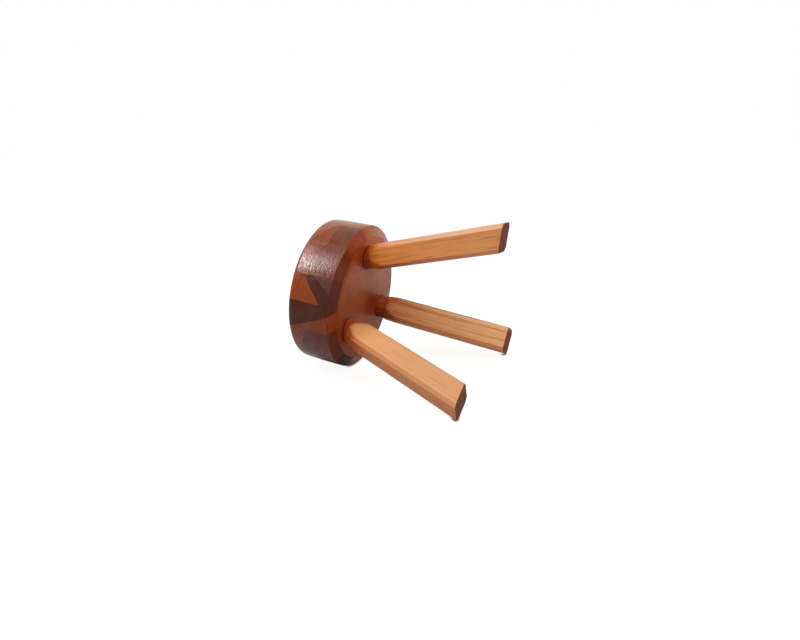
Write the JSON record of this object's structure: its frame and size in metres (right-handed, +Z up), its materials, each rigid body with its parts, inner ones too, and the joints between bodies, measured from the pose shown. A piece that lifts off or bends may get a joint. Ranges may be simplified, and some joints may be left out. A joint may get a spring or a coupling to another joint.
{
  "type": "round three-legged stool",
  "caption": "Low round wooden stool: thick seat pieced from varnished offcuts over a core block, on splayed square legs with turned ends set in blind sockets.",
  "frame": {"origin": "middle of the box that the standing stool fills, at floor level; the seat's own axis stands 26.3 mm to its -Y side and 1.9 mm to its +X side, because one leg reaches out to +Y", "axes": "+Z up, from the floor to the flat top of the seat; +Y towards the foot of leg_back; +X towards the side of leg_right"},
  "size_m": [0.3308, 0.3126, 0.3263],
  "materials": {
    "dark_brown_wood": "gloss varnish over dark brown hardwood",
    "grey_brown_wood": "gloss varnish over grey-brown hardwood",
    "mid_brown_wood": "gloss varnish over mid-brown hardwood",
    "red_brown_wood": "gloss varnish over red-brown hardwood",
    "salmon_wood": "gloss varnish over salmon-brown hardwood",
    "orange_wood": "gloss varnish over orange hardwood",
    "core_wood": "satin varnish over orange-brown wood",
    "leg_wood": "satin varnish over light orange-tan wood, dark end grain on the soles"
  },
  "bodies": {
    "root": {"seat_core": "core_wood", "rim_block_1_lower": "grey_brown_wood", "rim_block_1_upper": "salmon_wood", "rim_block_2_lower": "red_brown_wood", "rim_block_2_upper": "dark_brown_wood", "rim_block_3_lower": "grey_brown_wood", "rim_block_3_middle": "dark_brown_wood", "rim_block_3_upper": "orange_wood", "rim_block_4_whole": "red_brown_wood", "rim_block_5_lower": "mid_brown_wood", "rim_block_5_middle": "red_brown_wood", "rim_block_5_upper": "salmon_wood", "rim_block_6_lower": "orange_wood", "rim_block_6_upper": "salmon_wood", "rim_block_7_whole": "mid_brown_wood", "rim_block_8_lower": "dark_brown_wood", "rim_block_8_middle": "orange_wood", "rim_block_8_upper": "mid_brown_wood", "rim_block_9_lower": "red_brown_wood", "rim_block_9_upper": "dark_brown_wood", "rim_block_10_whole": "salmon_wood", "rim_block_11_lower": "dark_brown_wood", "rim_block_11_upper": "grey_brown_wood", "rim_block_12_lower": "mid_brown_wood", "rim_block_12_upper": "dark_brown_wood", "rim_block_13_whole": "red_brown_wood", "rim_block_14_lower": "dark_brown_wood", "rim_block_14_middle": "orange_wood", "rim_block_14_upper": "grey_brown_wood", "top_piece_1": "dark_brown_wood", "top_piece_2": "grey_brown_wood", "top_piece_3": "orange_wood", "top_piece_4": "mid_brown_wood", "top_piece_5": "salmon_wood", "top_piece_6": "mid_brown_wood", "top_piece_7": "red_brown_wood", "top_piece_8": "dark_brown_wood", "top_piece_9": "red_brown_wood", "top_piece_10": "mid_brown_wood", "top_piece_11": "orange_wood", "top_piece_12": "dark_brown_wood", "top_piece_13": "salmon_wood", "top_piece_14": "grey_brown_wood", "top_piece_15": "mid_brown_wood", "top_piece_16": "grey_brown_wood", "top_piece_17": "dark_brown_wood", "top_piece_18": "salmon_wood", "top_piece_19": "red_brown_wood", "top_piece_20": "salmon_wood", "top_piece_21": "dark_brown_wood", "top_piece_22": "orange_wood", "leg_right": "leg_wood", "leg_back": "leg_wood", "leg_left": "leg_wood"}
  },
  "joints": []
}
